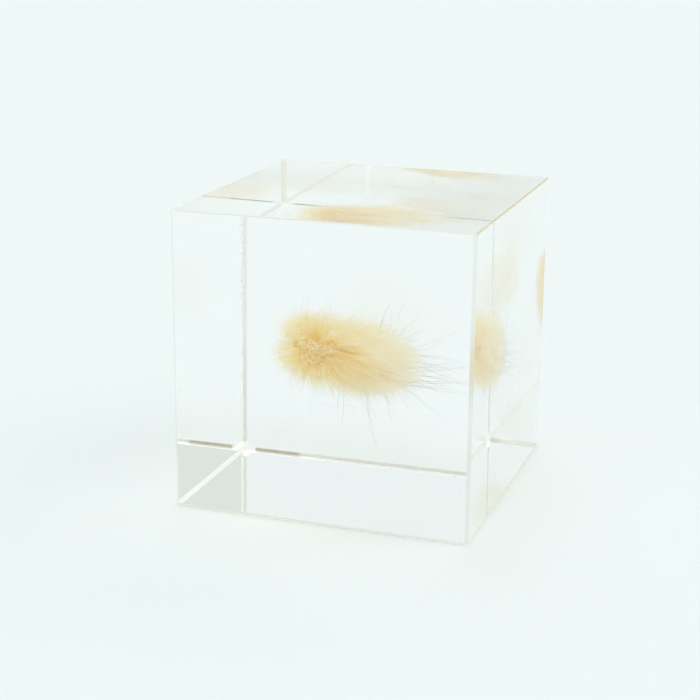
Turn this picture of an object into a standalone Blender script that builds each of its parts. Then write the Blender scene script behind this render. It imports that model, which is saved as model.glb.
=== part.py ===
"""A dried hare's-tail grass head cast in a clear resin cube.

The cube stands on z = 0 with its centre on the z axis, +Y away from the
viewer. The grass head is built upright in a frame of its own, its stem end
at the bottom and its tip at the top, and is then laid down in the cube.
"""
import math

import bmesh
import bpy
from mathutils import Matrix, Vector

# Resin cube
SIDE = 0.040                # edge length of the cube
EDGE_BREAK = 0.00045        # width broken off the base's and the upright edges
TOP_EDGE_SHARE = 0.45       # the top's edges are broken this much less
EDGE_FLATNESS = 0.32        # a quarter is a flat chamfer and a half a round edge
PARTING_HEIGHT = 0.0193     # the cube is parted level with the head's middle
GAP = 0.0003                # distance kept between separate solids

# Where the head lies in the cube
HEAD_CENTRE = Vector((-0.0003, 0.0016, 0.0193))
HEAD_TURN = math.radians(25.0)      # the tip points this far back from +X
HEAD_TILT = math.radians(10.0)      # and this far below the level

# The head's outer form, along its own axis from stem end to tip
FLUFF_BOTTOM = -0.0104
FLUFF_TOP = 0.0099
FLUFF_WIDEST = -0.0012      # height of the widest ring
FLUFF_RADIUS = 0.0057
FLUFF_BLUNTNESS = 2.8       # 2 is an ellipse, more is blunter
BODY_BOTTOM = -0.0072
BODY_TOP = 0.0084
BODY_RADIUS = 0.0043        # where the locks of hair part from each other

# Locks of hair on the body
LOCK_COUNT = 72
LOCK_ROOT_LOW = -0.0064
LOCK_ROOT_HIGH = 0.0068
LOCK_CROWDING = 1.3         # above 1, the locks crowd towards the stem end
LOCK_RADIUS_LOW = 0.0015
LOCK_RADIUS_HIGH = 0.0010
LOCK_TIP_RADIUS = 0.0002
LOCK_REACH_LOW = -0.0032    # the lowest locks lean back past the stem end
LOCK_REACH_HIGH = 0.0044    # the others lean towards the tip
LOCK_TURN = 0.3             # share of the locks over which the lean changes
LOCK_END_MARGIN = 0.0006    # how far inside the fluff's ends the tips stay

# Awns, the long bristles that stand out past the hair
AWN_RADIUS = 0.00017
AWN_TIP_RADIUS = 0.00008
FAN_COUNT = 14              # awns in the brush beyond the tip
FAN_ROOT = 0.0045
FAN_REACH = 0.0176          # mean height of their tips
FAN_SPREAD = 0.0032         # radius of the brush there
FAN_DROP = 0.0005           # how far the brush sags below the axis

# The loose awns: root height, angle round the axis, tip height, distance of
# the tip from the axis, and sideways bow, in millimetres and degrees.
# The angle is 0 below the head, 90 behind it, 180 above it and 270 in front.
LOOSE_AWNS = [
    (4.2, 185, 5.3, 9.2, 0.8),
    (5.0, 170, 9.5, 7.4, -0.9),
    (3.4, 190, 4.1, 8.8, 0.5),
    (6.0, 190, 14.7, 6.6, 0.9),
    (6.6, 200, 13.3, 2.4, -0.6),
    (5.0, 140, 11.8, 6.4, 0.7),
    (-1.6, 4, 0.9, 11.1, 0.4),
    (3.0, 356, 6.3, 12.5, -0.5),
    (4.2, 15, 10.4, 9.5, 0.6),
    (6.0, 350, 14.8, 6.5, -0.4),
    (1.0, 330, 3.8, 9.2, 0.7),
    (0.0, 75, 5.0, 8.6, 0.6),
    (2.0, 285, 8.0, 7.8, -0.6),
]

# Cut end of the stem
STALK_RADIUS = 0.0005
STALK_LENGTH = 0.0006

# Clearance of the pocket that the resin leaves round the grass
POCKET_CLEARANCE = 0.0007
CHANNEL_RADIUS = 0.00060
CHANNEL_END = 0.0006        # how far a channel runs past its awn

GOLDEN_ANGLE = math.pi * (3.0 - math.sqrt(5.0))
MILLIMETRE = 0.001


def clear_scene():
    for old in list(bpy.data.objects):
        bpy.data.objects.remove(old, do_unlink=True)


def new_collection(name):
    collection = bpy.data.collections.new(name)
    bpy.context.scene.collection.children.link(collection)
    return collection


def new_material(name, colour, roughness, transmission=0.0, ior=1.5):
    material = bpy.data.materials.new(name)
    material.use_nodes = True
    shader = material.node_tree.nodes["Principled BSDF"]
    shader.inputs["Base Color"].default_value = (*colour, 1.0)
    shader.inputs["Roughness"].default_value = roughness
    shader.inputs["Metallic"].default_value = 0.0
    shader.inputs["Transmission Weight"].default_value = transmission
    shader.inputs["IOR"].default_value = ior
    material.diffuse_color = (*colour, 1.0)
    return material


def new_object(name, mesh, collection, material=None):
    obj = bpy.data.objects.new(name, mesh)
    collection.objects.link(obj)
    if material:
        obj.data.materials.append(material)
    return obj


def make_cutter(obj):
    obj.display_type = "WIRE"
    obj.hide_render = True
    return obj


def add_boolean(obj, other, operation):
    modifier = obj.modifiers.new(other.name, "BOOLEAN")
    modifier.operation = operation
    modifier.solver = "EXACT"
    modifier.use_self = operation == "UNION"
    modifier.object = other


def head_placement():
    """Lays the upright head along +X, tip turned back and dipped."""
    turn = Matrix.Rotation(HEAD_TURN, 4, "Z")
    lay_down = Matrix.Rotation(math.pi / 2 + HEAD_TILT, 4, "Y")
    return Matrix.Translation(HEAD_CENTRE) @ turn @ lay_down


def fluff_radius(height, bottom=FLUFF_BOTTOM, top=FLUFF_TOP, radius=FLUFF_RADIUS):
    """Radius of the egg form at a height on its axis."""
    end = top if height > FLUFF_WIDEST else bottom
    part = min(1.0, abs((height - FLUFF_WIDEST) / (end - FLUFF_WIDEST)))
    return radius * math.sqrt(1.0 - part ** FLUFF_BLUNTNESS)


def egg(name, bottom, top, radius, rings, steps, collection, material=None):
    """An egg turned from its half outline, run down its outer side."""
    profile = []
    for i in range(rings + 1):
        angle = math.pi * i / rings
        height = (top + bottom) / 2 + (top - bottom) / 2 * math.cos(angle)
        width = fluff_radius(height, bottom, top, radius) if 0 < i < rings else 0.0
        profile.append((width, 0.0, height))
    mesh = bpy.data.meshes.new(name)
    mesh.from_pydata(profile, [(i, i + 1) for i in range(rings)], [])
    obj = new_object(name, mesh, collection, material)
    screw = obj.modifiers.new("Turn", "SCREW")
    screw.axis = "Z"
    screw.steps = steps
    screw.render_steps = steps
    screw.use_merge_vertices = True
    screw.merge_threshold = 0.00001
    screw.use_smooth_shade = True
    return obj


def mix(low, high, part):
    return low + (high - low) * part


def on_head(height, angle, distance):
    """A point of the head's own frame, by height, angle and distance."""
    return Vector((distance * math.cos(angle), distance * math.sin(angle), height))


def bent_route(root, middle, tip, root_radius, tip_radius, pieces):
    """Points and radii along one smooth bend from root to tip."""
    route = []
    for i in range(pieces + 1):
        t = i / pieces
        point = root * (1 - t) ** 2 + middle * (2 * t * (1 - t)) + tip * t ** 2
        route.append((point, mix(root_radius, tip_radius, t)))
    return route


def lock_routes():
    """Locks spaced evenly round the body by the golden angle."""
    routes = []
    for i in range(LOCK_COUNT):
        part = ((i + 0.5) / LOCK_COUNT) ** LOCK_CROWDING
        angle = i * GOLDEN_ANGLE
        height = mix(LOCK_ROOT_LOW, LOCK_ROOT_HIGH, part)
        reach = mix(LOCK_REACH_LOW, LOCK_REACH_HIGH, min(1.0, part / LOCK_TURN))
        tip_height = min(height + reach, FLUFF_TOP - LOCK_END_MARGIN)
        tip_height = max(tip_height, FLUFF_BOTTOM + LOCK_END_MARGIN)
        body = fluff_radius(height, BODY_BOTTOM, BODY_TOP, BODY_RADIUS)
        root = on_head(height, angle, 0.5 * body)
        middle = on_head(mix(height, tip_height, 0.35), angle, body)
        tip = on_head(tip_height, angle, fluff_radius(tip_height))
        radius = mix(LOCK_RADIUS_LOW, LOCK_RADIUS_HIGH, part)
        routes.append(bent_route(root, middle, tip, radius, LOCK_TIP_RADIUS, 3))
    return routes


def awn_ends():
    """Root, middle and tip of every awn."""
    ends = []
    for i in range(FAN_COUNT):
        angle = i * GOLDEN_ANGLE
        spread = FAN_SPREAD * math.sqrt((i + 0.5) / FAN_COUNT)
        reach = FAN_REACH + 0.0008 * math.cos(2.7 * i)
        sag = Vector((FAN_DROP, 0.0, 0.0))
        root = on_head(FAN_ROOT, angle, 0.0020) + sag
        middle = on_head(0.5 * (FAN_ROOT + reach), angle + 0.2, 0.75 * spread) + sag
        ends.append((root, middle, on_head(reach, angle, spread) + sag))
    for low, degrees, high, distance, bow in LOOSE_AWNS:
        angle = math.radians(degrees)
        root = on_head(low * MILLIMETRE, angle, 0.0020)
        tip = on_head(high * MILLIMETRE, angle, distance * MILLIMETRE)
        along = (tip - root).normalized()
        side = along.cross(on_head(0.0, angle, 1.0)).normalized()
        middle = (root + tip) / 2 + side * bow * MILLIMETRE
        ends.append((root, middle, tip))
    return ends


def awn_routes():
    return [bent_route(*ends, AWN_RADIUS, AWN_TIP_RADIUS, 4) for ends in awn_ends()]


def channel_routes():
    """The same bends, run on a little past each tip."""
    routes = []
    for root, middle, tip in awn_ends():
        past = tip + (tip - middle).normalized() * CHANNEL_END
        routes.append(bent_route(root, middle, past, CHANNEL_RADIUS, CHANNEL_RADIUS, 4))
    return routes


def tubes(name, routes, bevel_resolution, collection):
    """Closed tapered tubes along the routes, as one mesh to join or cut with."""
    curve = bpy.data.curves.new(name + "_routes", "CURVE")
    curve.dimensions = "3D"
    curve.bevel_depth = 1.0
    curve.bevel_resolution = bevel_resolution
    curve.use_fill_caps = True
    for route in routes:
        spline = curve.splines.new("POLY")
        spline.points.add(len(route) - 1)
        for point, (place, radius) in zip(spline.points, route):
            point.co = (*place, 1.0)
            point.radius = radius
    guide = new_object(name + "_routes", curve, collection)
    evaluated = guide.evaluated_get(bpy.context.evaluated_depsgraph_get())
    mesh = bpy.data.meshes.new_from_object(evaluated)
    mesh.name = name
    shape = bmesh.new()
    shape.from_mesh(mesh)
    bmesh.ops.remove_doubles(shape, verts=shape.verts, dist=0.000001)
    shape.to_mesh(mesh)
    shape.free()
    obj = new_object(name, mesh, collection)
    obj.matrix_world = guide.matrix_world.copy()
    bpy.data.objects.remove(guide, do_unlink=True)
    return make_cutter(obj)


def build_seed_head(parts, cutters, material):
    locks = tubes("locks", lock_routes(), 1, cutters)
    awns = tubes("awns", awn_routes(), 0, cutters)
    head = egg("seed_head", BODY_BOTTOM, BODY_TOP, BODY_RADIUS, 14, 20, parts, material)
    for obj in (locks, awns, head):
        obj.matrix_world = head_placement()
    add_boolean(head, locks, "UNION")
    add_boolean(head, awns, "UNION")


def build_stalk(parts, material):
    """The stub of stem under the head's lowest hairs."""
    mesh = bpy.data.meshes.new("stalk")
    shape = bmesh.new()
    bmesh.ops.create_cone(shape, cap_ends=True, segments=16, radius1=STALK_RADIUS,
                          radius2=STALK_RADIUS, depth=STALK_LENGTH)
    shape.to_mesh(mesh)
    shape.free()
    mesh.shade_smooth()
    mesh.set_sharp_from_angle(angle=math.radians(40.0))
    stalk = new_object("stalk", mesh, parts, material)
    middle = BODY_BOTTOM - GAP - STALK_LENGTH / 2
    stalk.matrix_world = head_placement() @ Matrix.Translation((0.0, 0.0, middle))


def build_pocket(cutters):
    """The space left for the grass: its own form, slightly larger all round."""
    channels = tubes("channels", channel_routes(), 1, cutters)
    pocket = egg("pocket", FLUFF_BOTTOM - POCKET_CLEARANCE, FLUFF_TOP + POCKET_CLEARANCE,
                 FLUFF_RADIUS + POCKET_CLEARANCE, 12, 20, cutters)
    for obj in (channels, pocket):
        obj.matrix_world = head_placement()
    add_boolean(pocket, channels, "UNION")
    return make_cutter(pocket)


def box(name, size, centre, collection, material=None):
    mesh = bpy.data.meshes.new(name)
    shape = bmesh.new()
    bmesh.ops.create_cube(shape, size=1.0)
    bmesh.ops.scale(shape, vec=size, verts=shape.verts)
    shape.to_mesh(mesh)
    shape.free()
    obj = new_object(name, mesh, collection, material)
    obj.location = centre
    return obj


def weigh_edges(mesh):
    """How far each edge of the cube is broken, as a share of EDGE_BREAK."""
    weights = mesh.attributes.new("bevel_weight_edge", "FLOAT", "EDGE")
    for edge in mesh.edges:
        lowest = min(mesh.vertices[v].co.z for v in edge.vertices)
        weights.data[edge.index].value = TOP_EDGE_SHARE if lowest > 0 else 1.0


def build_resin(parts, cutters, material, pocket):
    """One polished cube, parted in two so that the grass has its pocket."""
    wide = 2 * SIDE
    below_height = PARTING_HEIGHT + GAP / 2
    above_height = PARTING_HEIGHT - GAP / 2
    below = box("below_parting", (wide, wide, wide), (0, 0, below_height - SIDE), cutters)
    above = box("above_parting", (wide, wide, wide), (0, 0, above_height + SIDE), cutters)
    for name, removed in (("resin_lower_half", above), ("resin_upper_half", below)):
        make_cutter(removed)
        half = box(name, (SIDE, SIDE, SIDE), (0, 0, SIDE / 2), parts, material)
        weigh_edges(half.data)
        broken = half.modifiers.new("Broken edges", "BEVEL")
        broken.limit_method = "WEIGHT"
        broken.width = EDGE_BREAK
        broken.segments = 2
        broken.profile = EDGE_FLATNESS
        add_boolean(half, removed, "DIFFERENCE")
        add_boolean(half, pocket, "DIFFERENCE")


def main():
    clear_scene()
    parts = new_collection("grass_in_resin_cube")
    cutters = new_collection("cutters")
    resin = new_material("clear_resin", (0.97, 0.99, 0.98), 0.02, 1.0, 1.54)
    straw = new_material("dried_seed_head", (0.80, 0.66, 0.37), 0.8)
    stem = new_material("dried_stem", (0.45, 0.27, 0.10), 0.7)
    build_seed_head(parts, cutters, straw)
    build_stalk(parts, stem)
    build_resin(parts, cutters, resin, build_pocket(cutters))


main()
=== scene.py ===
"""A dried hare's-tail grass head in a clear resin cube, dressed for the camera.

The head's hair and awns follow the locks and awns of the solid seed head, in
the same frame: upright along its own axis, then laid down in the cube.
"""
import math

import bmesh
import bpy
import numpy as np
from mathutils import Matrix, Vector


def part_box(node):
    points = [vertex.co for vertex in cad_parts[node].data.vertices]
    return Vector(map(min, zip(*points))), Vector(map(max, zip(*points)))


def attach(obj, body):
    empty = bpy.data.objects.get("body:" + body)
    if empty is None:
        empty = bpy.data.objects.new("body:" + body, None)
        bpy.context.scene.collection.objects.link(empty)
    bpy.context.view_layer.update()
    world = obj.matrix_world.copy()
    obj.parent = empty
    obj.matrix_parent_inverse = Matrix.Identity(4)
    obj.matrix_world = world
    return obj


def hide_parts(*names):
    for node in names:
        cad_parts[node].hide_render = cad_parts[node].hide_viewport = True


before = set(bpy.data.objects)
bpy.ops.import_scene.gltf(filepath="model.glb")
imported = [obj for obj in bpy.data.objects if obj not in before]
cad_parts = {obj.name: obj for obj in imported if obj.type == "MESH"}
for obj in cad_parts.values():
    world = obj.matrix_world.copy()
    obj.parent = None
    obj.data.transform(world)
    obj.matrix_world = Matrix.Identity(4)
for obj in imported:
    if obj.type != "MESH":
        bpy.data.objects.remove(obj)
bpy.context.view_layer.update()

# The cube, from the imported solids
LOW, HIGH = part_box("resin_lower_half")[0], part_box("resin_upper_half")[1]
SIDE = HIGH.x - LOW.x
EDGE_BREAK = 0.00045
TOP_EDGE_SHARE = 0.45       # the top's edges are broken this much less
CORNER_CHIP = 0.0016        # the chipped corner, at the back on the left
RESIN_IOR = 1.54
EDGE_ROUGH_LOW = 0.30
EDGE_ROUGH_HIGH = 0.34
# Painted shade on a stretch of the bottom edge at the back, made darker and less clear where the
# edge shows shade:
# axis, where the shade starts and is full, and how strong it is before the one and after the other
BACK_EDGE_SHADE_LIMITS = [("X", LOW.x + 0.226 * SIDE, LOW.x + 0.206 * SIDE, 0.50, 1.0),
                ("X", LOW.x + 0.040 * SIDE, LOW.x + 0.048 * SIDE, 0.0, 1.0),
                ("Y", LOW.y + 0.95 * SIDE, LOW.y + 0.98 * SIDE, 0.0, 1.0),
                ("Z", LOW.z + 0.0120 * SIDE, LOW.z + 0.0065 * SIDE, 0.0, 1.0)]
# Painted shade on the upright edge at the back on the left, strongest towards its foot
UPRIGHT_EDGE_SHADE_LIMITS = [("X", LOW.x + 0.012 * SIDE, LOW.x + 0.006 * SIDE, 0.0, 1.0),
               ("Y", LOW.y + 0.980 * SIDE, LOW.y + 0.988 * SIDE, 0.0, 0.45),
               ("Z", LOW.z + 0.55 * SIDE, LOW.z + 0.20 * SIDE, 0.5, 1.0)]

# Where the head lies, as in the solids
HEAD_CENTRE = Vector((-0.0003, 0.0016, 0.0193))
HEAD_TURN = math.radians(25.0)
HEAD_TILT = math.radians(10.0)

# The head's outer form along its own axis
FLUFF_BOTTOM = -0.0104
FLUFF_TOP = 0.0099
FLUFF_WIDEST = -0.0012
FLUFF_RADIUS = 0.0057
FLUFF_BLUNTNESS = 2.8
BODY_BOTTOM = -0.0072
BODY_TOP = 0.0084
BODY_RADIUS = 0.0043

# Spikelets, one to each lock of the solid
SPIKELET_COUNT = 72
SPIKELET_ROOT_LOW = -0.0064
SPIKELET_ROOT_HIGH = 0.0068
SPIKELET_CROWDING = 1.3
SPIKELET_REACH_LOW = -0.0032
SPIKELET_REACH_HIGH = 0.0044
SPIKELET_TURN = 0.3
SPIKELET_END_MARGIN = 0.0006

# Hair, in tufts over the same form
HAIR_SEED = 11
TUFT_COUNT = 520
HAIRS_PER_TUFT = 105
HAIR_RADIUS = 0.000010
HAIR_LENGTH = 0.0027
HAIR_STEPS = (0.0, 0.5, 1.0)
EDGE_LOW = 0.45             # where the hair starts to thin out, as a share of
EDGE_HIGH = 1.36            # the outer form's radius, and where the last ends
EDGE_SHAPE = (2.3, 2.4)
HAIR_BLUNTNESS = 2.2        # the hair's own ends are rounder than the solid's,
HAIR_BOTTOM = -0.0119       # and the last of it reaches further back
PALER_TO_TIP = 1.05
GOLD_AT_BASE = 0.75
# painted highlight: the hair on the head's upper side is made paler
PAINTED_HIGHLIGHT_ABOVE = 0.65
BASE_END = -0.0045
THIN_TIP_START = 0.0012     # from here to the tip the hair grows sparse
THIN_TIP_SHARE = 0.6
LONG_HAIR_SEED = 17
LONG_HAIRS_PER_TUFT = 6
LONG_HAIR_RADIUS = 0.000022
LONG_HAIR_LENGTH = 0.0040
LONG_HAIR_ENDS = (0.66, 1.30)
LONG_HAIR_STEPS = (0.0, 0.35, 0.7, 1.0)
HAIR_PIECES = (-0.0048, -0.0020, 0.0008, 0.0036)  # heights where a new piece starts

# Where the hair parts in front, near the stem end, and shows the florets
PARTING_PLACE = (-0.0052, -0.0004, 0.0035)     # along, above and before the axis
PARTING_VIEW = (-0.266, 0.149, 1.0)
PARTING_HALF_LENGTH = 0.0030
PARTING_HALF_WIDTH = 0.0019
PARTING_SOFTNESS = 0.8
HUSK_SEED = 21
HUSK_COUNT = 220
HUSK_SCATTER = 0.55         # as a share of the parting's half length and width
HUSK_SINK = 0.0010          # the deepest that a husk starts under the others
HUSK_SIZES = (0.0004, 0.0009)
HUSK_WIDTH = 0.12           # its widest radius, as a share of its size
HUSK_TONES = [0.0, 0.2, 0.8, 1.0, 1.0]
FLORET_SEED = 3
FLORET_RADIUS = 0.00034
FLORET_END = 0.52           # how far along its spikelet's bend a floret reaches

# Awns
FACE_MARGIN = 0.0006        # the nearest that an awn's tip comes to a face
AWN_SEED = 5
AWN_RADIUS = 0.000027
AWN_WAVE = 0.00020
AWNS_EACH = 2
FAN_COUNT = 14
FAN_ROOT = 0.0045
FAN_ROOT_DISTANCE = 0.0026
FAN_REACH = 0.0176
FAN_RAGGED = 0.0008         # how unlike each other the awns' lengths are
FAN_SPREAD = 0.0032
FAN_DROP = 0.0005
FAN_CROSSING = 1.3          # how far round an awn's root is from its tip
LOOSE_ROOT_DISTANCE = 0.0020
# Root height, angle round the axis, tip height, distance of the tip from the
# axis and sideways bow, in millimetres and degrees
LOOSE_AWNS = [
    (4.2, 185, 5.3, 9.2, 0.8),
    (5.0, 170, 9.5, 7.4, -0.9),
    (3.4, 190, 4.1, 8.8, 0.5),
    (6.0, 190, 14.7, 6.6, 0.9),
    (6.6, 200, 13.3, 2.4, -0.6),
    (5.0, 140, 11.8, 6.4, 0.7),
    (-1.6, 4, 0.9, 11.1, 0.4),
    (3.0, 356, 6.3, 12.5, -0.5),
    (4.2, 15, 10.4, 9.5, 0.6),
    (6.0, 350, 14.8, 6.5, -0.4),
    (1.0, 330, 3.8, 9.2, 0.7),
    (0.0, 75, 5.0, 8.6, 0.6),
    (2.0, 285, 8.0, 7.8, -0.6),
]
WISP_SEED = 8
WISP_COUNT = 560
WISP_RADIUS = 0.000009
WISP_HEIGHT = 0.0085        # the furthest that one starts from the head's middle
WISP_ROOT_SHARE = 0.75
WISP_AHEAD = (-0.0008, 0.0022)
WISP_REACHES = (0.0014, 0.0042)
GOLDEN_ANGLE = math.pi * (3.0 - math.sqrt(5.0))
MILLIMETRE = 0.001

# Colours, from the inside of the head outwards or from root to tip
HAIR_GOLD = [(0.35, (0.998, 0.927, 0.42)),
             (0.70, (0.999, 0.976, 0.83)),
             (1.0, (0.999, 0.992, 0.95))]
HAIR_PALE = [(0.35, (0.999, 0.987, 0.89)),
             (0.70, (0.999, 0.996, 0.967)),
             (1.0, (0.999, 0.998, 0.987))]
AWN_COLOURS = [(0.0, (0.84, 0.70, 0.44)),
               (0.4, (0.66, 0.60, 0.49)),
               (1.0, (0.68, 0.66, 0.62))]
AWN_BLEACHED = (0.96, 0.94, 0.88, 1.0)
# The florets and husks, from the most golden one to the palest
FLORET_COLOURS = [(0.0, (0.88, 0.74, 0.31)),
                  (0.5, (0.982, 0.90, 0.53)),
                  (1.0, (0.998, 0.980, 0.88))]
FLORET_TIP = (0.995, 0.955, 0.76, 1.0)
STEM_COLOURS = [(0.3, (0.72, 0.50, 0.10)), (0.7, (0.93, 0.74, 0.26))]
EDGE_TINT = (0.86, 0.85, 0.80, 1.0)
# The colour of the painted shade on the back edges
EDGE_PAINTED_SHADE = (0.34, 0.28, 0.17, 1.0)

# The sweep and the studio
FLOOR_COLOUR = (0.868, 0.887, 0.885, 1.0)
FLOOR_RADIUS = 3.0
FLOOR_GAP = 0.00002
STUDIO_COLOUR = (0.83, 0.895, 0.886, 1.0)
# Soft patches: bearing and elevation of the middle, how far from it a patch is
# full and where it ends, all in degrees, and its colour
STUDIO_PATCHES = [(60, 60, 25, 60, (1.45, 1.53, 1.52)),
                  (30, 66, 10, 22, (0.28, 0.29, 0.29)),
                  (25, 22, 4, 16, (0.70, 0.77, 0.71))]
LIGHT_BOUNCES = 96          # the pale hair hands its light on many times

# The camera, fitted to the cube's seven visible corners in the photograph
IMAGE_SIDE = 700
FOCAL_PIXELS = 1630.9
CAMERA_AZIMUTH = math.radians(18.73)
CAMERA_ELEVATION = math.radians(16.39)
CAMERA_ROLL = math.radians(0.52)
CAMERA_PLACE = Vector((1.663, -5.094, 2.028))     # in sides of the cube


def head_placement():
    turn = Matrix.Rotation(HEAD_TURN, 4, "Z")
    lay_down = Matrix.Rotation(math.pi / 2 + HEAD_TILT, 4, "Y")
    return Matrix.Translation(HEAD_CENTRE) @ turn @ lay_down


def in_cube(places):
    """Places on the upright head, laid down where the head lies in the cube."""
    turn = np.array(head_placement())
    return places @ turn[:3, :3].T + turn[:3, 3]


def fluff_radius(height, bottom=FLUFF_BOTTOM, top=FLUFF_TOP, radius=FLUFF_RADIUS):
    """Radius of the egg form at each height."""
    height = np.asarray(height, float)
    end = np.where(height > FLUFF_WIDEST, top, bottom)
    part = np.minimum(1.0, np.abs((height - FLUFF_WIDEST) / (end - FLUFF_WIDEST)))
    return radius * np.sqrt(1.0 - part ** FLUFF_BLUNTNESS)


def mix(low, high, part):
    return low + (high - low) * part


def on_head(height, angle, distance):
    return np.stack(np.broadcast_arrays(
        distance * np.cos(angle), distance * np.sin(angle), height), axis=-1)


def unit(v):
    return v / np.maximum(np.linalg.norm(v, axis=-1, keepdims=True), 1e-12)


def bend(root, middle, tip, t):
    """Points at t along the smooth bends from root to tip."""
    t = np.asarray(t)[..., None]
    return root * (1 - t) ** 2 + middle * (2 * t * (1 - t)) + tip * t ** 2


def mesh_object(name, places, faces, material, smooth=True):
    """A mesh from arrays of places and of triangles or quads."""
    mesh = bpy.data.meshes.new(name)
    corners = faces.shape[1]
    mesh.vertices.add(len(places))
    mesh.vertices.foreach_set("co", places.astype(np.float32).ravel())
    mesh.loops.add(faces.size)
    mesh.loops.foreach_set("vertex_index", faces.astype(np.int32).ravel())
    mesh.polygons.add(len(faces))
    mesh.polygons.foreach_set("loop_start", np.arange(0, faces.size, corners, dtype=np.int32))
    mesh.polygons.foreach_set("use_smooth", np.full(len(faces), smooth))
    mesh.update(calc_edges=True)
    mesh.validate()
    mesh.materials.append(material)
    obj = bpy.data.objects.new(name, mesh)
    bpy.context.scene.collection.objects.link(obj)
    return obj


def strands(name, lines, radii, material, tone, sides=3):
    """Thin closed tubes, one to each line of points, tapering to a point.

    lines is strands x points x 3, radii is strands x points, and tone is a
    number for each strand that its colour follows.
    """
    count, rings = lines.shape[:2]
    along = unit(np.gradient(lines, axis=1))
    chord = unit(lines[:, -1] - lines[:, 0])
    helper = np.where(np.abs(chord[:, 2:3]) < 0.8, [[0.0, 0.0, 1.0]], [[1.0, 0.0, 0.0]])
    side = unit(np.cross(along, helper[:, None, :]))
    other = np.cross(along, side)
    turn = np.arange(sides) * 2 * math.pi / sides
    ring = (side[:, :-1, None] * np.cos(turn)[:, None]
            + other[:, :-1, None] * np.sin(turn)[:, None])
    body = lines[:, :-1, None] + ring * radii[:, :-1, None, None]
    per = (rings - 1) * sides + 1
    places = np.concatenate([body.reshape(count, -1, 3), lines[:, -1:]], axis=1)
    faces = []
    for r in range(rings - 2):
        for s in range(sides):
            a, b = r * sides + s, r * sides + (s + 1) % sides
            faces += [(a, b, b + sides), (a, b + sides, a + sides)]
    last = (rings - 2) * sides
    for s in range(sides):
        faces.append((last + s, last + (s + 1) % sides, per - 1))
    for s in range(1, sides - 1):
        faces.append((0, s + 1, s))
    faces = np.array(faces)
    all_faces = (faces[None] + (np.arange(count) * per)[:, None, None]).reshape(-1, 3)
    places = places.reshape(-1, 3)
    obj = mesh_object(name, in_cube(places), all_faces, material, smooth=False)
    reach = np.repeat(np.linspace(0, 1, rings)[:-1], sides)
    reach = np.tile(np.append(reach, 1.0), count)
    numbers = {"along": reach, "tone": np.repeat(tone, per), "outer": np.sqrt(level(places))}
    for label, values in numbers.items():
        attribute = obj.data.attributes.new(label, "FLOAT", "POINT")
        attribute.data.foreach_set("value", values.astype(np.float32))
    return obj


def spikelet_bends(count=SPIKELET_COUNT, part=None, angle=None):
    """Root, middle and tip of every spikelet, as the solid's locks."""
    i = np.arange(count)
    if part is None:
        part = (i + 0.5) / count
        angle = i * GOLDEN_ANGLE
    part = part ** SPIKELET_CROWDING
    height = mix(SPIKELET_ROOT_LOW, SPIKELET_ROOT_HIGH, part)
    lean = np.minimum(1.0, part / SPIKELET_TURN)
    reach = mix(SPIKELET_REACH_LOW, SPIKELET_REACH_HIGH, lean)
    tip_height = np.clip(height + reach, FLUFF_BOTTOM + SPIKELET_END_MARGIN,
                         FLUFF_TOP - SPIKELET_END_MARGIN)
    body = fluff_radius(height, BODY_BOTTOM, BODY_TOP, BODY_RADIUS)
    root = on_head(height, angle, 0.3 * body)
    middle = on_head(mix(height, tip_height, 0.35), angle, 0.85 * body)
    tip = on_head(tip_height, angle, 0.92 * fluff_radius(tip_height))
    return root, middle, tip


def level(points):
    """0 on the axis's widest place and 1 on the hair's outer form."""
    height = points[..., 2]
    end = np.where(height > FLUFF_WIDEST, FLUFF_TOP, HAIR_BOTTOM)
    part = np.abs((height - FLUFF_WIDEST) / (end - FLUFF_WIDEST))
    distance = np.hypot(points[..., 0], points[..., 1])
    return (distance / FLUFF_RADIUS) ** 2 + part ** HAIR_BLUNTNESS


def in_parting(points):
    """How bare a place is: 1 in the middle of the parting, fading outwards."""
    place = np.array(PARTING_PLACE)
    view = unit(np.array(PARTING_VIEW))
    local = np.stack([points[..., 2], -points[..., 0], -points[..., 1]], axis=-1) - place
    depth = local @ view
    beside = local - depth[..., None] * view
    away = (beside[..., 0] / PARTING_HALF_LENGTH) ** 2 + (beside[..., 1] / PARTING_HALF_WIDTH) ** 2
    return np.where(depth > -0.0004, np.exp(-PARTING_SOFTNESS * away), 0.0)


def node(tree, kind, **values):
    made = tree.nodes.new(kind)
    for name, value in values.items():
        setattr(made, name, value)
    return made


def ramp(tree, source, stops):
    made = node(tree, "ShaderNodeValToRGB")
    while len(made.color_ramp.elements) < len(stops):
        made.color_ramp.elements.new(0.5)
    for element, (place, colour) in zip(made.color_ramp.elements, stops):
        element.position = place
        element.color = (*colour, 1.0)
    tree.links.new(source, made.inputs["Fac"])
    return made.outputs["Color"]


def new_material(name):
    material = bpy.data.materials.new(name)
    material.use_nodes = True
    tree = material.node_tree
    return material, tree, tree.nodes["Principled BSDF"]


def tinted(tree, shader, colour, share):
    """The colour on the shader, with a share of the light let through."""
    tree.links.new(colour, shader.inputs["Base Color"])
    through = node(tree, "ShaderNodeBsdfTranslucent")
    tree.links.new(colour, through.inputs["Color"])
    both = node(tree, "ShaderNodeMixShader")
    both.inputs[0].default_value = share
    tree.links.new(shader.outputs[0], both.inputs[1])
    tree.links.new(through.outputs[0], both.inputs[2])
    tree.links.new(both.outputs[0], tree.nodes["Material Output"].inputs["Surface"])


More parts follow.
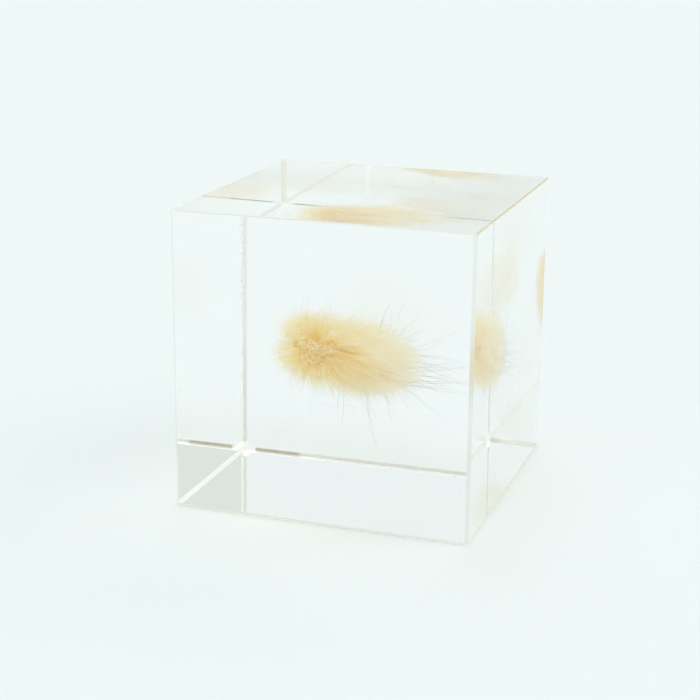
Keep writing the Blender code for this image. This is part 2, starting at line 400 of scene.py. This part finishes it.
def hair_material():
    """Straw-coloured hair: golden inside the head, almost white outside."""
    material, tree, shader = new_material("glume_hair")
    outer = node(tree, "ShaderNodeAttribute", attribute_name="outer")
    tone = node(tree, "ShaderNodeAttribute", attribute_name="tone")
    gold = ramp(tree, outer.outputs["Fac"], HAIR_GOLD)
    pale = ramp(tree, outer.outputs["Fac"], HAIR_PALE)
    blend = node(tree, "ShaderNodeMix", data_type="RGBA")
    tree.links.new(tone.outputs["Fac"], blend.inputs[0])
    tree.links.new(gold, blend.inputs[6])
    tree.links.new(pale, blend.inputs[7])
    shader.inputs["Roughness"].default_value = 0.6
    shader.inputs["Specular IOR Level"].default_value = 0.0
    tinted(tree, shader, blend.outputs[2], 0.5)
    return material


def awn_material():
    material, tree, shader = new_material("awn")
    along = node(tree, "ShaderNodeAttribute", attribute_name="along")
    colour = ramp(tree, along.outputs["Fac"], AWN_COLOURS)
    shader.inputs["Roughness"].default_value = 0.45
    shader.inputs["Specular IOR Level"].default_value = 0.1
    tone = node(tree, "ShaderNodeAttribute", attribute_name="tone")
    bleached = node(tree, "ShaderNodeMix", data_type="RGBA")
    tree.links.new(tone.outputs["Fac"], bleached.inputs[0])
    tree.links.new(colour, bleached.inputs[6])
    bleached.inputs[7].default_value = AWN_BLEACHED
    tinted(tree, shader, bleached.outputs[2], 0.3)
    return material


def floret_material():
    material, tree, shader = new_material("floret")
    along = node(tree, "ShaderNodeAttribute", attribute_name="along")
    tone = node(tree, "ShaderNodeAttribute", attribute_name="tone")
    body = ramp(tree, tone.outputs["Fac"], FLORET_COLOURS)
    cream = node(tree, "ShaderNodeMix", data_type="RGBA")
    cream.inputs[7].default_value = FLORET_TIP
    fade = node(tree, "ShaderNodeMapRange")
    fade.inputs["From Min"].default_value = 0.5
    tree.links.new(along.outputs["Fac"], fade.inputs["Value"])
    tree.links.new(fade.outputs[0], cream.inputs[0])
    tree.links.new(body, cream.inputs[6])
    shader.inputs["Roughness"].default_value = 0.5
    shader.inputs["Specular IOR Level"].default_value = 0.1
    tinted(tree, shader, cream.outputs[2], 0.25)
    return material


def resin_material():
    """Clear polished resin, with the faintest haze of the polish."""
    material, tree, shader = new_material("clear_resin")
    place = node(tree, "ShaderNodeTexCoord")
    noise = node(tree, "ShaderNodeTexNoise")
    noise.inputs["Scale"].default_value = 160.0
    tree.links.new(place.outputs["Object"], noise.inputs["Vector"])
    haze = node(tree, "ShaderNodeMapRange")
    haze.inputs["From Min"].default_value = 0.45
    haze.inputs["From Max"].default_value = 0.75
    haze.inputs["To Max"].default_value = 0.002
    tree.links.new(noise.outputs["Fac"], haze.inputs["Value"])
    tree.links.new(haze.outputs[0], shader.inputs["Roughness"])
    shader.inputs["Base Color"].default_value = (1.0, 1.0, 1.0, 1.0)
    shader.inputs["Transmission Weight"].default_value = 1.0
    shader.inputs["IOR"].default_value = RESIN_IOR
    return material


def within(tree, axes, limits):
    """1 in the box that the limits close in, less where they say so."""
    inside = None
    for output, start, end, least, most in limits:
        part = node(tree, "ShaderNodeMapRange", interpolation_type="SMOOTHSTEP")
        part.inputs["From Min"].default_value = start
        part.inputs["From Max"].default_value = end
        part.inputs["To Min"].default_value = least
        part.inputs["To Max"].default_value = most
        tree.links.new(axes.outputs[output], part.inputs["Value"])
        if inside is None:
            inside = part.outputs[0]
        else:
            both = node(tree, "ShaderNodeMath", operation="MULTIPLY")
            tree.links.new(inside, both.inputs[0])
            tree.links.new(part.outputs[0], both.inputs[1])
            inside = both.outputs[0]
    return inside


def edge_material():
    """The broken edges: satin and a little worn, with painted shade on the bottom edge and the
    upright edge at the back.
    """
    material, tree, shader = new_material("broken_edge")
    place = node(tree, "ShaderNodeTexCoord")
    noise = node(tree, "ShaderNodeTexNoise")
    noise.inputs["Scale"].default_value = 220.0
    tree.links.new(place.outputs["Object"], noise.inputs["Vector"])
    worn = node(tree, "ShaderNodeMapRange")
    worn.inputs["From Min"].default_value = 0.3
    worn.inputs["From Max"].default_value = 0.7
    worn.inputs["To Min"].default_value = EDGE_ROUGH_LOW
    worn.inputs["To Max"].default_value = EDGE_ROUGH_HIGH
    tree.links.new(noise.outputs["Fac"], worn.inputs["Value"])
    tree.links.new(worn.outputs[0], shader.inputs["Roughness"])
    axes = node(tree, "ShaderNodeSeparateXYZ")
    tree.links.new(place.outputs["Object"], axes.inputs[0])
    # Painted shade: the back edges made darker and less clear
    either = node(tree, "ShaderNodeMath", operation="MAXIMUM")
    tree.links.new(within(tree, axes, BACK_EDGE_SHADE_LIMITS), either.inputs[0])
    tree.links.new(within(tree, axes, UPRIGHT_EDGE_SHADE_LIMITS), either.inputs[1])
    painted_shade = either.outputs[0]
    colour = node(tree, "ShaderNodeMix", data_type="RGBA")
    tree.links.new(painted_shade, colour.inputs[0])
    colour.inputs[6].default_value = EDGE_TINT
    colour.inputs[7].default_value = EDGE_PAINTED_SHADE
    tree.links.new(colour.outputs[2], shader.inputs["Base Color"])
    clear = node(tree, "ShaderNodeMapRange")
    clear.inputs["To Min"].default_value = 1.0
    clear.inputs["To Max"].default_value = 0.4
    tree.links.new(painted_shade, clear.inputs["Value"])
    tree.links.new(clear.outputs[0], shader.inputs["Transmission Weight"])
    shader.inputs["IOR"].default_value = RESIN_IOR
    return material


def chip_material():
    """The chipped corner: white from the break, finely rough."""
    material, tree, shader = new_material("chipped_corner")
    place = node(tree, "ShaderNodeTexCoord")
    noise = node(tree, "ShaderNodeTexNoise")
    noise.inputs["Scale"].default_value = 900.0
    tree.links.new(place.outputs["Object"], noise.inputs["Vector"])
    rough = node(tree, "ShaderNodeMapRange")
    rough.inputs["To Min"].default_value = 0.42
    rough.inputs["To Max"].default_value = 0.60
    tree.links.new(noise.outputs["Fac"], rough.inputs["Value"])
    tree.links.new(rough.outputs[0], shader.inputs["Roughness"])
    shader.inputs["Base Color"].default_value = (1.0, 1.0, 1.0, 1.0)
    shader.inputs["Transmission Weight"].default_value = 1.0
    shader.inputs["IOR"].default_value = RESIN_IOR
    return material


def chip_corner(shape):
    """Takes a chip off the low corner at the back on the left."""
    corner = Vector((LOW.x, HIGH.y, LOW.z))
    outward = Vector((-1.0, 1.0, -1.0)).normalized()
    cut = bmesh.ops.bisect_plane(shape, geom=shape.verts[:] + shape.edges[:] + shape.faces[:],
                                 plane_co=corner - outward * CORNER_CHIP / math.sqrt(3.0),
                                 plane_no=outward, clear_outer=True)
    rim = [e for e in cut["geom_cut"] if isinstance(e, bmesh.types.BMEdge)]
    for face in bmesh.ops.contextual_create(shape, geom=rim)["faces"]:
        face.material_index = 2
    bmesh.ops.recalc_face_normals(shape, faces=shape.faces)


def build_cube():
    """The one clear casting, with sharp faces and finely broken edges."""
    mesh = bpy.data.meshes.new("resin_cube")
    shape = bmesh.new()
    bmesh.ops.create_cube(shape, size=SIDE)
    bmesh.ops.translate(shape, vec=(LOW + HIGH) / 2, verts=shape.verts)
    weights = shape.edges.layers.float.new("bevel_weight_edge")
    for edge in shape.edges:
        at_top = min(v.co.z for v in edge.verts) > HIGH.z - EDGE_BREAK
        edge[weights] = TOP_EDGE_SHARE if at_top else 1.0
    shape.to_mesh(mesh)
    for material in (resin_material(), edge_material(), chip_material()):
        mesh.materials.append(material)
    cube = bpy.data.objects.new("resin_cube", mesh)
    bpy.context.scene.collection.objects.link(cube)
    broken = cube.modifiers.new("Broken edges", "BEVEL")
    broken.limit_method = "WEIGHT"
    broken.width = EDGE_BREAK
    broken.material = 1
    evaluated = cube.evaluated_get(bpy.context.evaluated_depsgraph_get())
    shape.clear()
    shape.from_mesh(evaluated.to_mesh())
    cube.modifiers.remove(broken)
    chip_corner(shape)
    shape.to_mesh(mesh)
    shape.free()
    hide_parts("resin_lower_half", "resin_upper_half")
    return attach(cube, "root")


def share_inside(start, way, sweep, length, limit):
    """How much of each hair's length stays within the hair's own limit."""
    fits = np.zeros(length.shape)
    for step in np.linspace(0.1, 1.0, 10):
        reach = (length * step)[..., None]
        place = start + way * reach + sweep * reach * step
        fits = np.where((level(place) < limit) & (fits > step - 0.15), step, fits)
    return fits


def hair_tones(rng, start):
    """0 for golden hair and 1 for pale hair, palest towards the tip, and paler on top as a painted
    highlight.
    """
    tone = rng.normal(0.45, 0.28, start.shape[:2]) + rng.normal(0, 0.14, (TUFT_COUNT, 1))
    upward = -start[..., 0] / np.maximum(np.hypot(start[..., 0], start[..., 1]), 1e-6)
    at_base = start[..., 2] < BASE_END
    tone = tone + PALER_TO_TIP * start[..., 2] / FLUFF_TOP - GOLD_AT_BASE * at_base
    # Painted highlight: paler hair on the upper side
    return tone + PAINTED_HIGHLIGHT_ABOVE * np.maximum(upward, 0.0)


def grows(rng, start, lines, fits):
    """Which hairs there are: fewer in the parting and towards the tip."""
    half_way = lines.shape[2] // 2
    bare = np.maximum(in_parting(lines[:, :, -1]), in_parting(lines[:, :, half_way]))
    towards_tip = (start[..., 2] - THIN_TIP_START) / (FLUFF_TOP - THIN_TIP_START)
    sparse = THIN_TIP_SHARE * np.clip(towards_tip, 0, 1)
    beside_parting = rng.random(fits.shape) > 1.1 * bare
    return (fits > 0.25) & beside_parting & (rng.random(fits.shape) > sparse)


def tuft_hairs(rng, each, longest, steps, ends):
    """Lines of hair that leave each tuft's bend and end at the soft outer edge."""
    i = np.arange(TUFT_COUNT)
    part = np.clip((i + rng.uniform(-0.3, 1.3, TUFT_COUNT)) / TUFT_COUNT, 0.002, 1.0)
    angle = i * GOLDEN_ANGLE + rng.normal(0, 0.25, TUFT_COUNT)
    root, middle, tip = (p[:, None] for p in spikelet_bends(TUFT_COUNT, part, angle))
    shape = (TUFT_COUNT, each)
    t = rng.uniform(0.02, 0.95, shape)
    start = bend(root, middle, tip, t)
    forward = unit(bend(root, middle, tip, t + 0.02) - start)
    out = rng.normal(size=forward.shape)
    out = unit(out - (out * forward).sum(-1, keepdims=True) * forward)
    spread = np.radians(np.abs(rng.normal(30, 20, shape)))[..., None]
    way = forward * np.cos(spread) + out * np.sin(spread)
    tuft_sweep = unit(rng.normal(size=(TUFT_COUNT, 1, 3))) * 0.18
    sweep = tuft_sweep + unit(rng.normal(size=way.shape)) * 0.14 + forward * 0.2
    length = longest * rng.uniform(0.55, 1.25, shape)
    limit = mix(*ends, rng.beta(*EDGE_SHAPE, shape)) ** 2
    fits = share_inside(start, way, sweep, length, limit)
    lines = []
    for step in steps:
        reach = (length * fits * step)[..., None]
        lines.append(start + way * reach + sweep * reach * (fits * step)[..., None])
    lines = np.stack(lines, axis=2)
    tone = hair_tones(rng, start)
    keep = grows(rng, start, lines, fits)
    return lines[keep], np.clip(tone, 0, 1)[keep]


def build_hair(material):
    """The coat of fine hair, in pieces from the head's base to its tip."""
    lines, tones = tuft_hairs(np.random.default_rng(HAIR_SEED), HAIRS_PER_TUFT,
                              HAIR_LENGTH, HAIR_STEPS, (EDGE_LOW, EDGE_HIGH))
    height = lines[:, 1, 2]
    taper = HAIR_RADIUS * np.array([1.0, 0.8, 0.0])
    piece = np.searchsorted(HAIR_PIECES, height)
    for number in range(len(HAIR_PIECES) + 1):
        chosen = piece == number
        radii = np.broadcast_to(taper, (chosen.sum(), len(taper)))
        name = f"hair_{number + 1}"
        hair = strands(name, lines[chosen], radii, material, tones[chosen])
        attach(hair, "root")


def build_long_hair(material):
    """Thicker single hairs in the coat, golden and white by turns."""
    lines, tones = tuft_hairs(np.random.default_rng(LONG_HAIR_SEED), LONG_HAIRS_PER_TUFT,
                              LONG_HAIR_LENGTH, LONG_HAIR_STEPS, LONG_HAIR_ENDS)
    taper = LONG_HAIR_RADIUS * np.array([1.0, 1.0, 0.7, 0.0])
    radii = np.broadcast_to(taper, lines.shape[:2])
    tones = np.clip(0.75 + 1.6 * (tones - 0.5), 0.45, 1)
    hair = strands("long_hair", lines, radii, material, tones)
    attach(hair, "root")


def awn_bends():
    """Root, middle and tip of every awn of the solid."""
    ends = []
    for i in range(FAN_COUNT):
        angle = i * GOLDEN_ANGLE
        spread = FAN_SPREAD * math.sqrt((i + 0.5) / FAN_COUNT)
        reach = FAN_REACH + FAN_RAGGED * math.cos(2.7 * i)
        sag = np.array([FAN_DROP, 0.0, 0.0])
        half_way = 0.5 * (FAN_ROOT + reach)
        ends.append((on_head(FAN_ROOT, angle + FAN_CROSSING, FAN_ROOT_DISTANCE) + sag,
                     on_head(half_way, angle + 0.6 * FAN_CROSSING, 0.75 * spread) + sag,
                     on_head(reach, angle, spread) + sag))
    for low, degrees, high, distance, bow in LOOSE_AWNS:
        angle = math.radians(degrees)
        root = on_head(low * MILLIMETRE, angle, LOOSE_ROOT_DISTANCE)
        tip = on_head(high * MILLIMETRE, angle, distance * MILLIMETRE)
        side = unit(np.cross(unit(tip - root), on_head(0.0, angle, 1.0)))
        ends.append((root, (root + tip) / 2 + side * bow * MILLIMETRE, tip))
    return [np.array(e) for e in zip(*ends)]


def inside_resin(root, tip):
    """The tips, drawn back towards their roots where they come near a face."""
    low, high = np.array(LOW) + FACE_MARGIN, np.array(HIGH) - FACE_MARGIN
    for _ in range(20):
        place = in_cube(tip)
        near = np.any((place < low) | (place > high), axis=-1, keepdims=True)
        tip = np.where(near, tip + (root - tip) * 0.03, tip)
    return tip


def build_awns(material):
    """Fine awns along each of the solid's, the second one shorter and aside."""
    rng = np.random.default_rng(AWN_SEED)
    root, middle, tip = (np.repeat(p, AWNS_EACH, axis=0) for p in awn_bends())
    t = np.linspace(0, 1, 11)
    second = (np.arange(len(root)) % AWNS_EACH > 0)[:, None]
    aside = rng.normal(size=tip.shape) * 0.0007
    shorter = (tip - root) * rng.uniform(0.05, 0.35, second.shape)
    tip = tip + second * (aside - shorter)
    tip = inside_resin(root, tip)
    middle = middle + rng.normal(size=middle.shape) * 0.0008
    line = bend(root[:, None], middle[:, None], tip[:, None], t[None])
    phase = rng.uniform(0, 6, (len(root), 1))
    wave = rng.normal(size=(len(root), 1, 3)) * AWN_WAVE * np.sin(t * 7 + phase)[..., None]
    line = line + wave * t[None, :, None]
    taper = np.broadcast_to(1.0 - 0.7 * t, line.shape[:2])
    radii = AWN_RADIUS * taper * rng.uniform(0.6, 1.1, (len(root), 1))
    awns = strands("awns", line, radii, material, rng.uniform(0.0, 0.15, len(root)), sides=4)
    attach(awns, "root")


def build_wisps(material):
    """Short hairs that stand out past the soft edge, most of them below."""
    rng = np.random.default_rng(WISP_SEED)
    angle = rng.vonmises(0.0, 0.5, WISP_COUNT)
    height = rng.uniform(-WISP_HEIGHT, WISP_HEIGHT, WISP_COUNT)
    distance = WISP_ROOT_SHARE * fluff_radius(height)
    root = on_head(height, angle, distance)
    ahead = mix(*WISP_AHEAD, (height - FLUFF_BOTTOM) / (FLUFF_TOP - FLUFF_BOTTOM))
    out = rng.uniform(*WISP_REACHES, WISP_COUNT)
    tip_height = height + ahead + rng.normal(0, 0.0012, WISP_COUNT)
    tip_angle = angle + rng.normal(0, 0.28, WISP_COUNT)
    tip = on_head(tip_height, tip_angle, distance + out)
    middle = (root + tip) / 2 + rng.normal(size=root.shape) * 0.0009
    t = np.linspace(0, 1, 7)
    line = bend(root[:, None], middle[:, None], tip[:, None], t[None])
    radii = WISP_RADIUS * np.broadcast_to(1.0 - 0.6 * t, line.shape[:2])
    wisps = strands("wisps", line, radii, material, rng.uniform(0.2, 0.8, WISP_COUNT))
    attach(wisps, "root")


def build_core(material):
    """The florets packed round the stem, inside the hair."""
    rng = np.random.default_rng(FLORET_SEED)
    root, middle, tip = spikelet_bends()
    t = np.linspace(0.0, FLORET_END, 8)
    line = bend(root[:, None], middle[:, None], tip[:, None], t[None])
    swell = np.sin(np.pi * np.linspace(0, 1, len(t)) ** 0.8) ** 0.7
    radii = np.broadcast_to(FLORET_RADIUS * np.maximum(swell, 0.1), line.shape[:2])
    core = strands("florets", line, radii, material, rng.uniform(0.1, 0.8, len(root)), sides=6)
    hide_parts("seed_head")
    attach(core, "root")


def build_husks(material):
    """Cream and golden husks in the parting, each a small pointed bract."""
    rng = np.random.default_rng(HUSK_SEED)
    view = unit(np.array(PARTING_VIEW))
    along = rng.normal(0.0, HUSK_SCATTER, HUSK_COUNT) * PARTING_HALF_LENGTH
    above = rng.normal(-0.1, HUSK_SCATTER, HUSK_COUNT) * PARTING_HALF_WIDTH - 0.25 * along
    local = np.array(PARTING_PLACE) + np.stack([along, above, np.zeros(HUSK_COUNT)], axis=-1)
    local = local - view * rng.uniform(0.0, HUSK_SINK, HUSK_COUNT)[:, None]
    base = np.stack([-local[:, 1], -local[:, 2], local[:, 0]], axis=-1)
    out = unit(base * np.array([1.0, 1.0, 0.0]))
    aside = rng.normal(size=out.shape) * 0.45
    lengthwise = np.array([0, 0, 1.0]) * rng.normal(0, 0.8, (HUSK_COUNT, 1))
    way = unit(out + aside + lengthwise)
    size = rng.uniform(*HUSK_SIZES, HUSK_COUNT)[:, None, None]
    t = np.linspace(0, 1, 8)
    sag = rng.normal(size=way.shape)[:, None] * 0.45
    line = base[:, None] + (way[:, None] * t[None, :, None] + sag * (t * t)[None, :, None]) * size
    swell = np.sin(np.pi * t ** 0.7) ** 0.8
    radii = size[..., 0] * HUSK_WIDTH * np.maximum(swell, 0.06)[None]
    husks = strands("husks", line, np.broadcast_to(radii, line.shape[:2]), material,
                    rng.choice(HUSK_TONES, HUSK_COUNT), sides=6)
    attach(husks, "root")


def build_stalk(material):
    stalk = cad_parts["stalk"]
    stalk.data.materials.clear()
    stalk.data.materials.append(material)


def stem_material():
    material, tree, shader = new_material("dried_stem")
    place = node(tree, "ShaderNodeTexCoord")
    noise = node(tree, "ShaderNodeTexNoise")
    noise.inputs["Scale"].default_value = 2500.0
    tree.links.new(place.outputs["Object"], noise.inputs["Vector"])
    colour = ramp(tree, noise.outputs["Fac"], STEM_COLOURS)
    tree.links.new(colour, shader.inputs["Base Color"])
    shader.inputs["Roughness"].default_value = 0.7
    return material


def build_floor():
    mesh = bpy.data.meshes.new("floor")
    shape = bmesh.new()
    bmesh.ops.create_circle(shape, cap_ends=True, segments=96, radius=FLOOR_RADIUS)
    bmesh.ops.translate(shape, vec=(0, 0, -FLOOR_GAP), verts=shape.verts)
    shape.to_mesh(mesh)
    shape.free()
    material, tree, shader = new_material("sweep")
    shader.inputs["Base Color"].default_value = FLOOR_COLOUR
    shader.inputs["Roughness"].default_value = 0.8
    shader.inputs["Specular IOR Level"].default_value = 0.2
    mesh.materials.append(material)
    floor = bpy.data.objects.new("floor", mesh)
    bpy.context.scene.collection.objects.link(floor)


def direction(bearing, elevation):
    """The way to a bearing, 0 away from the viewer and 90 to the right, in degrees."""
    b, e = math.radians(bearing), math.radians(elevation)
    return Vector((math.sin(b) * math.cos(e), math.cos(b) * math.cos(e), math.sin(e)))


def build_world():
    """A white studio: even all round, with darker and brighter patches."""
    world = bpy.data.worlds.new("studio")
    bpy.context.scene.world = world
    world.use_nodes = True
    tree = world.node_tree
    background = tree.nodes["Background"]
    place = node(tree, "ShaderNodeTexCoord")
    value = node(tree, "ShaderNodeRGB")
    value.outputs[0].default_value = STUDIO_COLOUR
    colour = value.outputs[0]
    for bearing, elevation, inner, outer, tint in STUDIO_PATCHES:
        dot = node(tree, "ShaderNodeVectorMath", operation="DOT_PRODUCT")
        dot.inputs[1].default_value = direction(bearing, elevation)
        tree.links.new(place.outputs["Generated"], dot.inputs[0])
        mask = node(tree, "ShaderNodeMapRange", interpolation_type="SMOOTHSTEP")
        mask.inputs["From Min"].default_value = math.cos(math.radians(outer))
        mask.inputs["From Max"].default_value = math.cos(math.radians(inner))
        tree.links.new(dot.outputs["Value"], mask.inputs["Value"])
        blend = node(tree, "ShaderNodeMix", data_type="RGBA")
        tree.links.new(mask.outputs[0], blend.inputs[0])
        tree.links.new(colour, blend.inputs[6])
        blend.inputs[7].default_value = (*tint, 1.0)
        colour = blend.outputs[2]
    tree.links.new(colour, background.inputs["Color"])
    background.inputs["Strength"].default_value = 1.0


def build_camera():
    a, e, r = CAMERA_AZIMUTH, CAMERA_ELEVATION, CAMERA_ROLL
    back = Vector((math.sin(a) * math.cos(e), -math.cos(a) * math.cos(e), math.sin(e)))
    level = Vector((math.cos(a), math.sin(a), 0))
    upright = back.cross(level)
    right = level * math.cos(r) + upright * math.sin(r)
    up = upright * math.cos(r) - level * math.sin(r)
    place = Matrix((right, up, back)).transposed().to_4x4()
    place.translation = CAMERA_PLACE * SIDE
    data = bpy.data.cameras.new("camera")
    data.sensor_width = 36.0
    data.lens = FOCAL_PIXELS / IMAGE_SIDE * data.sensor_width
    data.clip_start = 0.01
    camera = bpy.data.objects.new("camera", data)
    camera.matrix_world = place
    bpy.context.scene.collection.objects.link(camera)
    bpy.context.scene.camera = camera


def main():
    build_camera()
    build_cube()
    hair = hair_material()
    build_hair(hair)
    awn = awn_material()
    build_wisps(awn)
    build_awns(awn)
    floret = floret_material()
    build_core(floret)
    build_long_hair(floret)
    build_husks(floret)
    build_stalk(stem_material())
    build_floor()
    build_world()
    scene = bpy.context.scene
    scene.view_settings.view_transform = "Standard"
    scene.cycles.max_bounces = LIGHT_BOUNCES
    scene.cycles.transmission_bounces = LIGHT_BOUNCES
    scene.cycles.glossy_bounces = LIGHT_BOUNCES
    scene.cycles.diffuse_bounces = LIGHT_BOUNCES
    scene.cycles.blur_glossy = 0.0


main()
